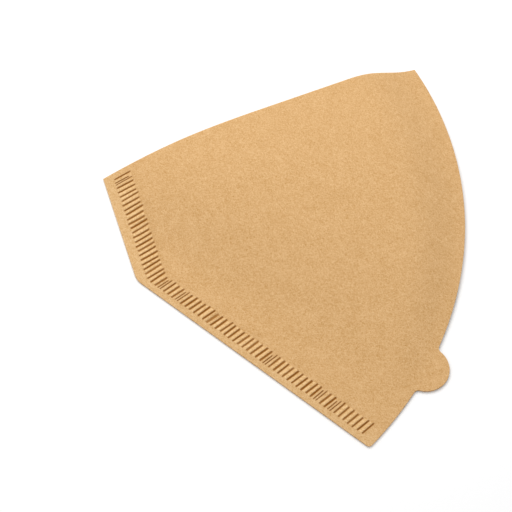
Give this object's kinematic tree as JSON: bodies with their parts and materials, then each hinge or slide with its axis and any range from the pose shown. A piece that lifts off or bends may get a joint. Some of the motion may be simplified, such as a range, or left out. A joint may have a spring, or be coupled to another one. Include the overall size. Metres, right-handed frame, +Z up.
{
  "type": "paper coffee filter",
  "caption": "Cone coffee filter of unbleached paper, folded flat, with a fold on one side, crimped seams along the other side and the bottom, an arched open mouth and a rounded pull tab.",
  "frame": {"origin": "centre of the bounding box in plan, on the surface the filter lies on", "axes": "+X across the mouth towards the side with the crimped seam, +Y from the bottom seam to the mouth, +Z up, away from the surface it lies on"},
  "size_m": [0.1666, 0.1418, 0.0112],
  "materials": {
    "filter_paper": "unbleached matte filter paper, fine fibrous mottle"
  },
  "bodies": {
    "root": {"paper_filter": "filter_paper"}
  },
  "joints": []
}
